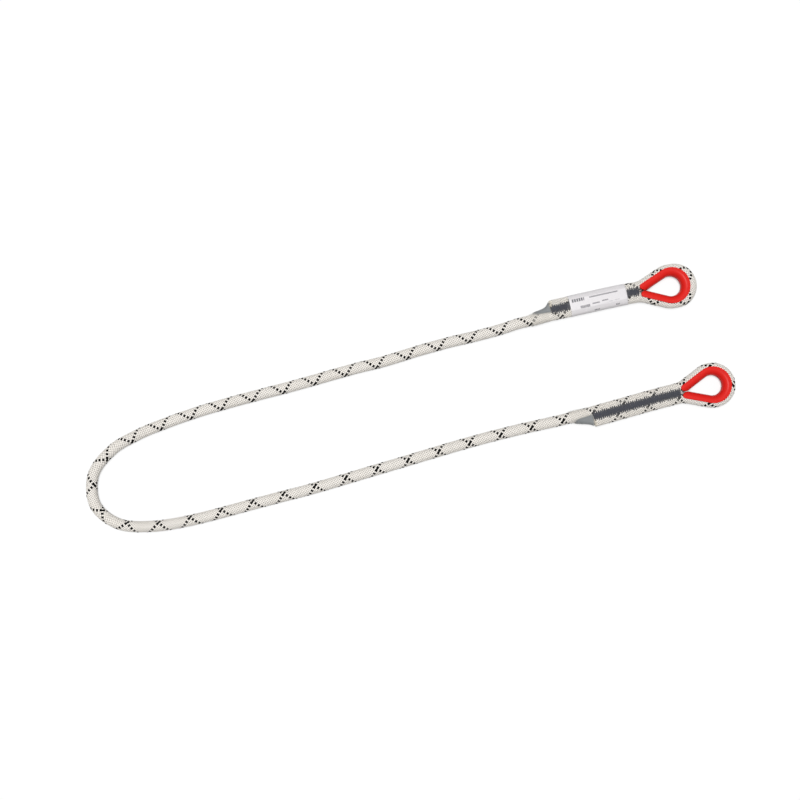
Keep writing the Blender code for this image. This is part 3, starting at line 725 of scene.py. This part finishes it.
def add_stitches(name, place, looks):
    """The needle's thread on top and the bobbin's below: a wide zig-zag and a close, narrow one."""
    for thread, side in (("needle", 1), ("bobbin", -1)):
        wide = [zigzag(place, STITCH_PITCH, STITCH_WIDTH, STITCH_UNEVEN * 2, 0, side, shift)
                for shift in (0, THREAD_TWIN)]
        close = zigzag(place, TACK_PITCH, STITCH_SOLID, STITCH_UNEVEN, TACK_LIFT, side)
        threads = [thread_mesh(points) for points in (*wide, close)]
        joined(f"{thread}_stitches_{name}", threads, THREAD_SMOOTH, looks["thread"],
               "sewing_thread", f"{thread}_thread_{name}")


# Film and label

def covered(back, place):
    """The round things under the film at a distance behind the eye: y, z and radius of each."""
    tail, bridge = place["tail"], place["bridge"]
    offset, slope = leg_at(back)
    radius = float(leg_radius_at(back)) / math.cos(slope)
    fall = 0.0 if back <= TAIL_END else min((back - TAIL_END) / SLEEVE_STEP, 1.0)
    stays = bridge * (1 - fall) + (1 - bridge) * (1 - fall) ** BRIDGE_FALL
    thin = float(tail_taper(TAIL_END - back))
    thin += (1 - thin) * fall
    edges = [(-tail * offset, 0.0, radius),
             (tail * offset * (2 * stays - 1), 0.0, radius * thin)]
    if STITCH_START - FILM_EASE < back < TAIL_END:
        before, past = max(STITCH_START - back, 0.0), max(back - STITCH_END, 0.0)
        full = float(smooth(1 - before / FILM_EASE) * smooth(1 - past / TAIL_PAST_STITCH))
        low = LEG_RADIUS * float(tail_taper(TAIL_END - back)) - THREAD_THICKNESS
        height = low + full * (THREAD_HEIGHT - low)
        edges += [(y * STITCH_REACH, z * height, THREAD_THICKNESS / 2)
                  for y in (1, -1) for z in (1, -1)]
    return np.array(edges)


def supported(edges, lift, directions):
    """Where a film drawn tight round circles faces each direction."""
    face = np.stack([np.cos(directions), np.sin(directions)])
    reach = edges[:, :2] @ face + edges[:, 2:]
    best = edges[np.argmax(np.round(reach, TIE_DIGITS), axis=0)]
    return best[:, :2] + (best[:, 2:] + lift) * face.T


def taut(edges, lift):
    """A loop drawn tight round circles, evenly from its underside on: y, z and the way it faces."""
    directions = np.linspace(0, 2 * math.pi, FILM_DIRECTIONS) - math.pi / 2
    loop = supported(edges, lift, directions)
    along = distances(loop)
    stops = np.linspace(0, along[-1], FILM_AROUND + 1)
    return np.column_stack([np.interp(stops, along, column) for column in (*loop.T, directions)])


def stand_off(y, z, back, place, lift):
    """How far a point of the film is from the rope and the stitching: 0 on them, 1 well off."""
    edges, tail = covered(back, place), place["tail"]
    offset, slope = leg_at(back)
    thick = LEG_RADIUS * float(tail_taper(TAIL_END - back)) / math.cos(slope)
    off = math.hypot(y + tail * offset, z) - edges[0, 2]
    beside = math.hypot(y - tail * offset, z) - thick
    off = min(off, math.hypot(max(beside, 0.0), FILM_LEAVES * max(back - TAIL_END, 0.0)))
    if len(edges) > 2:
        flat = max(abs(y) - STITCH_REACH, 0.0)
        off = min(off, math.hypot(flat, abs(z) - abs(edges[2, 1])) - THREAD_THICKNESS / 2)
    return min(1.0, max(0.0, (off - lift) / FILM_BRIDGE))


def creased(back, y, z, free):
    """A point of the film, lifted by its fine creases, which are higher where it stands free."""
    spot = Vector((back * CREASE_ALONG, y * CREASE_AROUND, z * CREASE_AROUND))
    crease = noise.noise(spot) + noise.noise(spot * CREASE_FINER) / 2
    push = FILM_CREASE * (CREASE_TIGHT + CREASE_FREE * free) * max(0.0, crease + CREASE_RISE)
    grown = 1 + push / math.hypot(y, z)
    return -back, y * grown, z * grown


def film_rows(place):
    """Points of the film from the thimble's ends to the mouth, and how far each stands off."""
    tongues = HOLE_TIP + TONGUE_LENGTH
    middle, flank = tongues + SLEEVE_SHORT, tongues - SLEEVE_FLANKS
    settled = STITCH_START + FILM_EASE
    rows, gaps = [], []
    for back in np.linspace(middle, MOUTH, math.ceil((MOUTH - middle) / FILM_STEP) + 1):
        eased = max(0.0, (settled - back) / (settled - middle))
        row, gap = [], []
        lift = CLEARANCE + MOUTH_EASE * float(smooth((back - TAIL_END) / SLEEVE_STEP))
        if place["labelled"]:
            inside = min(back - LABEL_START, LABEL_END - back, 0)
            lift += (CLEARANCE + LABEL_THICKNESS) * float(smooth(1 + inside / FILM_EASE))
        for y, z, direction in taut(covered(back, place), lift):
            sideways = smooth((abs(math.cos(direction)) - FLANK_FACING) / FLANK_EASE) * eased
            here = back + (flank - middle) * sideways
            if sideways > 0:
                y, z = supported(covered(here, place), lift, np.array([direction]))[0]
            free = stand_off(y, z, here, place, lift)
            free = max(free, MOUTH_HAZE * float(smooth((here - TAIL_END) / FILM_EASE)))
            if place["labelled"] and LABEL_START < here < LABEL_END:
                free = 0.0
            row.append(creased(here, y, z, free))
            gap.append(free)
        row[-1], gap[-1] = row[0], gap[0]
        rows.append(moved(np.array(row), place))
        gaps.append(gap)
    return np.array(rows), np.array(gaps)


def add_sheet(name, form, thickness, material, slot, node):
    """A piece of film that stands for a node, its wall outside the form."""
    piece = new_piece(name, mesh_of(form, name, FILM_SMOOTH), material, slot, node)
    wall = piece.modifiers.new("Wall", "SOLIDIFY")
    wall.thickness = thickness
    wall.offset = 1


def add_film(name, place, looks):
    points, gaps = film_rows(place)
    add_sheet(f"clear_film_{name}", sheet_form(points, closed=True, loose=gaps), SLEEVE_WALL,
              looks["film"], "shrink_film", f"shrink_sleeve_{name}")


def add_label(place, looks):
    """A band of printed film round both legs, its two ends apart on the underside."""
    rows = []
    for back in np.linspace(LABEL_START, LABEL_END, LABEL_ROWS):
        loop = taut(covered(back, place), CLEARANCE)[:, :2]
        along = distances(loop)
        trim = LABEL_SEAM / 2
        stops = np.linspace(trim, along[-1] - trim, FILM_AROUND + 1)
        y, z = (np.interp(stops, along, column) for column in loop.T)
        rows.append(moved(np.column_stack([0 * y - back, y, z]), place))
    add_sheet("label_band", sheet_form(np.array(rows)), LABEL_THICKNESS, looks["label"],
              "label_film", "identification_label")


# Finishes

class Finish:
    """A material under construction: its nodes and its Principled shader."""

    def __init__(self, name, **values):
        self.material = bpy.data.materials.new(name)
        self.material.use_nodes = True
        self.tree = self.material.node_tree
        self.shader = self.tree.nodes["Principled BSDF"]
        self.give(**values)

    def give(self, **values):
        """The material, after inputs of the shader are fed, each by its name."""
        for name, value in values.items():
            feed(self.tree, value, self.shader.inputs[name.replace("_", " ")])
        return self.material


def feed(tree, value, target):
    """Link an output to an input, or set the input to a colour or a number."""
    if isinstance(value, bpy.types.NodeSocket):
        tree.links.new(value, target)
    elif isinstance(value, tuple):
        target.default_value = (*value, 1)
    else:
        target.default_value = value


def add_node(tree, kind, **values):
    """A node with its values, each fed to the input of that name, or else set on the node."""
    node = tree.nodes.new(kind)
    for name, value in values.items():
        socket = name.replace("_", " ")
        if socket in node.inputs:
            feed(tree, value, node.inputs[socket])
        else:
            setattr(node, name, value)
    return node


def reckon(tree, operation, *values):
    """The result of a Math node."""
    node = add_node(tree, "ShaderNodeMath", operation=operation)
    for value, target in zip(values, node.inputs):
        feed(tree, value, target)
    return node.outputs[0]


def product(tree, first, second):
    return reckon(tree, "MULTIPLY", first, second)


def stretch(tree, value, lowest, highest, low=0.0, high=1.0):
    """A value brought from one range to another, and kept inside that."""
    return add_node(tree, "ShaderNodeMapRange", Value=value, From_Min=lowest, From_Max=highest,
                    To_Min=low, To_Max=high).outputs[0]


def blend(tree, share, first, second):
    """A colour that goes from the first to the second as the share goes from 0 to 1."""
    node = add_node(tree, "ShaderNodeMix", data_type="RGBA", Factor=share)
    feed(tree, first, node.inputs[MIX_FIRST])
    feed(tree, second, node.inputs[MIX_SECOND])
    return node.outputs[MIX_RESULT]


def noise_at(tree, spot, **values):
    return add_node(tree, "ShaderNodeTexNoise", Vector=spot, **values).outputs[0]


def bumped(tree, height, distance, strength):
    """The normal of a surface with fine relief."""
    return add_node(tree, "ShaderNodeBump", Height=height, Distance=distance,
                    Strength=strength).outputs[0]


def on_piece(tree):
    """The place on the piece, in metres."""
    return add_node(tree, "ShaderNodeTexCoord").outputs["Object"]


def unrolled_place(tree):
    """The two outputs of the place in the piece's own UV."""
    place = add_node(tree, "ShaderNodeUVMap").outputs["UV"]
    split = add_node(tree, "ShaderNodeSeparateXYZ", Vector=place).outputs
    return split["X"], split["Y"]


def attribute(tree, name):
    return add_node(tree, "ShaderNodeAttribute", attribute_name=name).outputs["Fac"]


def group_tree(name, inputs, outputs):
    """A node group and its own ends, its sockets each given as a name and a kind of value."""
    tree = bpy.data.node_groups.new(name, "ShaderNodeTree")
    for sockets, way in ((inputs, "INPUT"), (outputs, "OUTPUT")):
        for socket, kind in sockets:
            tree.interface.new_socket(socket, in_out=way, socket_type=f"NodeSocket{kind}")
    return tree, tree.nodes.new("NodeGroupInput").outputs, tree.nodes.new("NodeGroupOutput").inputs


def use_group(tree, group, **values):
    """The outputs of a group that is placed in a tree, with its inputs fed."""
    return add_node(tree, "ShaderNodeGroup", node_tree=group, **values).outputs


def filament_group():
    """Fine filaments along a yarn, by its own UV: a colour with painted shade where they lie low,
    and a height for a bump.
    """
    tree, given, made = group_tree(
        "yarn_filaments",
        [("Colour", "Color"), ("Deep Colour", "Color"), ("Spacing", "Float"), ("Run", "Float")],
        [("Colour", "Color"), ("Height", "Float")])
    along, across = unrolled_place(tree)
    spot = add_node(tree, "ShaderNodeCombineXYZ", X=product(tree, along, given["Run"]),
                    Y=product(tree, across, given["Spacing"])).outputs[0]
    filaments = noise_at(tree, spot, Scale=1.0, Detail=3.0, Roughness=0.6)
    # painted shade: where the filaments lie low they take the Deep Colour
    share = stretch(tree, filaments, lowest=0.3, highest=0.6)
    feed(tree, blend(tree, share, given["Deep Colour"], given["Colour"]), made["Colour"])
    feed(tree, filaments, made["Height"])
    return tree


def handling_group():
    """Soft patches of a second colour over a surface, as handling and storage leave them."""
    tree, given, made = group_tree(
        "handling_patches",
        [("Colour", "Color"), ("Patch Colour", "Color"), ("Scale", "Float"), ("Amount", "Float")],
        [("Colour", "Color"), ("Patches", "Float")])
    spots = noise_at(tree, on_piece(tree), Scale=given["Scale"], Detail=4.0, Roughness=0.55)
    patches = stretch(tree, spots, lowest=0.42, highest=0.68)
    share = product(tree, patches, given["Amount"])
    feed(tree, blend(tree, share, given["Colour"], given["Patch Colour"]), made["Colour"])
    feed(tree, patches, made["Patches"])
    return tree


def yarn_finish(name, filaments, patches, colour, filament_shade, patch, amount, gap=None, sheen=0.35):
    """Yarn, darker towards the gap's colour where the attribute crown says that it dips under
    others: painted shade.
    """
    finish = Finish(name, Roughness=0.62, Specular_IOR_Level=sheen)
    tree = finish.tree
    yarn = use_group(tree, filaments, Colour=colour, Deep_Colour=filament_shade, Spacing=26.0, Run=0.9)
    seen = use_group(tree, patches, Colour=yarn["Colour"], Patch_Colour=patch, Scale=38.0,
                     Amount=amount)["Colour"]
    if gap:
        # painted shade: the yarn goes to the gap's near black colour where it dips under its
        # neighbours
        above = stretch(tree, attribute(tree, "crown"), lowest=0.46, highest=0.80)
        seen = blend(tree, above, gap, seen)
    relief = bumped(tree, yarn["Height"], distance=0.00006, strength=0.7)
    return finish.give(Base_Color=seen, Normal=relief)


def grained_finish(name, roughness, scale, detail, first, second, relief):
    """A finish of two colours in a fine grain, which is its relief too."""
    finish = Finish(name, Roughness=roughness)
    tree = finish.tree
    grain = noise_at(tree, on_piece(tree), Scale=scale, Detail=detail)
    return finish.give(Base_Color=blend(tree, grain, first, second),
                       Normal=bumped(tree, grain, relief, strength=0.5))


def thimble_finish(patches):
    finish = Finish("moulded_red_plastic", Specular_IOR_Level=0.16)
    tree = finish.tree
    marks = use_group(tree, patches, Colour=(0.68, 0.016, 0.011), Patch_Colour=(0.62, 0.013, 0.010),
                      Scale=90.0, Amount=0.5)
    skin = noise_at(tree, on_piece(tree), Scale=1400.0, Detail=2.0)
    return finish.give(Base_Color=marks["Colour"],
                       Roughness=stretch(tree, marks["Patches"], 0, 1, low=0.36, high=0.50),
                       Normal=bumped(tree, skin, distance=0.00002, strength=0.35))


def film_finish():
    """Film that is clear on the rope, and grey where the attribute loose says that it is free: the
    grey is painted shade of the hollows under it.
    """
    finish = Finish("clear_shrink_film", Roughness=0.28, Specular_IOR_Level=0.3)
    tree = finish.tree
    loose = attribute(tree, "loose")
    cloud = noise_at(tree, on_piece(tree), Scale=140.0, Detail=3.0)
    uneven = reckon(tree, "MULTIPLY_ADD", cloud, FILM_CLOUDS, loose)
    cover = stretch(tree, uneven, lowest=0.1, highest=1.1, low=FILM_CLEAREST, high=FILM_DENSEST)
    # painted shade: where the film stands free over hollows, its colour goes to a dark grey
    painted_shade_share = stretch(tree, loose, MOUTH_HAZE, FILM_GREY)
    return finish.give(Alpha=cover,
                       Base_Color=blend(tree, painted_shade_share, (0.86, 0.83, 0.77), (0.255, 0.268, 0.274)),
                       Normal=bumped(tree, cloud, distance=0.0002, strength=0.25))


def printed_row(tree, height, thick, start, end, dash):
    """1 on a row of dashes: at a height across the label, from start to end along it."""
    def within(value, low, high):
        return product(tree, reckon(tree, "GREATER_THAN", value, low),
                       reckon(tree, "LESS_THAN", value, high))

    across, along = unrolled_place(tree)
    mask = product(tree, within(across, height - thick / 2, height + thick / 2),
                   within(along, start, end))
    if dash:
        beat = reckon(tree, "PINGPONG", along, dash)
        mask = product(tree, mask, reckon(tree, "GREATER_THAN", beat, dash * DASH_GAP))
    return mask


def label_finish():
    """White film with plain grey rules and rows of dashes, which stand for nothing."""
    finish = Finish("label_print", Roughness=0.35)
    tree = finish.tree
    mask = 0.0
    for row in PRINT_ROWS:
        mask = reckon(tree, "MAXIMUM", mask, printed_row(tree, *row))
    return finish.give(Base_Color=blend(tree, mask, (0.72, 0.70, 0.72), (0.10, 0.10, 0.12)))


def make_finishes():
    filaments, patches = filament_group(), handling_group()
    return {
        # gap: painted shade where the white strands dip under each other
        "strand": yarn_finish("white_braid_yarn", filaments, patches, colour=(0.95, 0.91, 0.855),
                              filament_shade=(0.72, 0.69, 0.64), patch=(0.80, 0.75, 0.67), amount=0.25,
                              gap=(0.02, 0.018, 0.015)),
        "tracer": yarn_finish("black_tracer_yarn", filaments, patches, colour=(0.003, 0.003, 0.003),
                              filament_shade=(0.002, 0.002, 0.002), patch=(0.004, 0.004, 0.004),
                              amount=0.3, sheen=0.1),
        "thread": yarn_finish("grey_sewing_thread", filaments, patches,
                              colour=(0.038, 0.043, 0.062), filament_shade=(0.017, 0.019, 0.029),
                              patch=(0.052, 0.058, 0.078), amount=0.4, sheen=0.15),
        # the core is near black: painted shade that shows in the gaps between the strands
        "core": grained_finish("rope_core_painted_shade", roughness=0.8, scale=900.0, detail=2.0,
                               first=(0.03, 0.028, 0.025), second=(0.07, 0.065, 0.06),
                               relief=0.0001),
        "melted": grained_finish("melted_nylon", roughness=0.3, scale=420.0, detail=4.0,
                                 first=(0.62, 0.55, 0.42), second=(0.80, 0.76, 0.68),
                                 relief=0.0004),
        "thimble": thimble_finish(patches),
        "film": film_finish(),
        "label": label_finish(),
    }


# Surroundings

def floor_finish():
    """White to the camera, but shaded next to the pieces, and grey to the light."""
    finish = Finish("white_floor", Roughness=0.9, Specular_IOR_Level=0.0)
    tree = finish.tree
    rays = add_node(tree, "ShaderNodeLightPath").outputs
    seen = rays["Is Camera Ray"]
    for kind in ("Is Glossy Ray", "Is Transmission Ray"):
        seen = reckon(tree, "MAXIMUM", seen, rays[kind])
    finish.give(Base_Color=blend(tree, seen, (0.22, 0.22, 0.22), (1.0, 1.0, 1.0)))
    gap = add_node(tree, "ShaderNodeAmbientOcclusion", Distance=GAP_REACH)
    whiteness = stretch(tree, gap.outputs["AO"], *GAP_SHADES, 0.0, FLOOR_WHITENESS)
    both = add_node(tree, "ShaderNodeMixShader")
    plain_white = add_node(tree, "ShaderNodeEmission").outputs[0]
    parts = (product(tree, seen, whiteness), finish.shader.outputs[0], plain_white)
    for part, target in zip(parts, both.inputs):
        tree.links.new(part, target)
    tree.links.new(both.outputs[0], tree.nodes["Material Output"].inputs["Surface"])
    return finish.material


def add_floor():
    form = bmesh.new()
    bmesh.ops.create_grid(form, x_segments=1, y_segments=1, size=FLOOR_REACH)
    under_rope = ROPE_HEIGHT - ROPE_RADIUS - TRACER_RISE
    bmesh.ops.translate(form, verts=form.verts, vec=(0, 0, under_rope))
    floor = add_object("floor", mesh_of(form, "floor"))
    floor.data.materials.append(floor_finish())


def add_softbox():
    """A round light above the rope, which looks at the middle of it."""
    light = bpy.data.lights.new("overhead_softbox", "AREA")
    light.shape = "DISK"
    light.size = SOFTBOX_SIZE
    light.energy = SOFTBOX_POWER
    lamp = add_object(light.name, light)
    lamp.location = SOFTBOX_PLACE
    lamp.rotation_euler = Vector(SOFTBOX_PLACE).to_track_quat("Z", "Y").to_euler()


def light_scene():
    """The softbox in a white studio."""
    bpy.context.scene.view_settings.view_transform = "Standard"
    world = bpy.data.worlds.new("studio")
    world.use_nodes = True
    tree = world.node_tree
    walls = tree.nodes["Background"].inputs
    walls["Color"].default_value = (1, 1, 1, 1)
    rays = add_node(tree, "ShaderNodeLightPath").outputs
    feed(tree, stretch(tree, rays["Is Camera Ray"], 0, 1, SKY_LIGHT, 1), walls["Strength"])
    bpy.context.scene.world = world
    add_softbox()


def dress():
    set_camera()
    looks = make_finishes()
    line = RopeLine()
    add_rope(line, looks)
    for name, place in TERMINATIONS.items():
        add_thimble(name, place, looks)
        add_stitches(name, place, looks)
        add_melted_end(name, place, looks)
        add_film(name, place, looks)
        if place["labelled"]:
            add_label(place, looks)
    add_floor()
    light_scene()


dress()
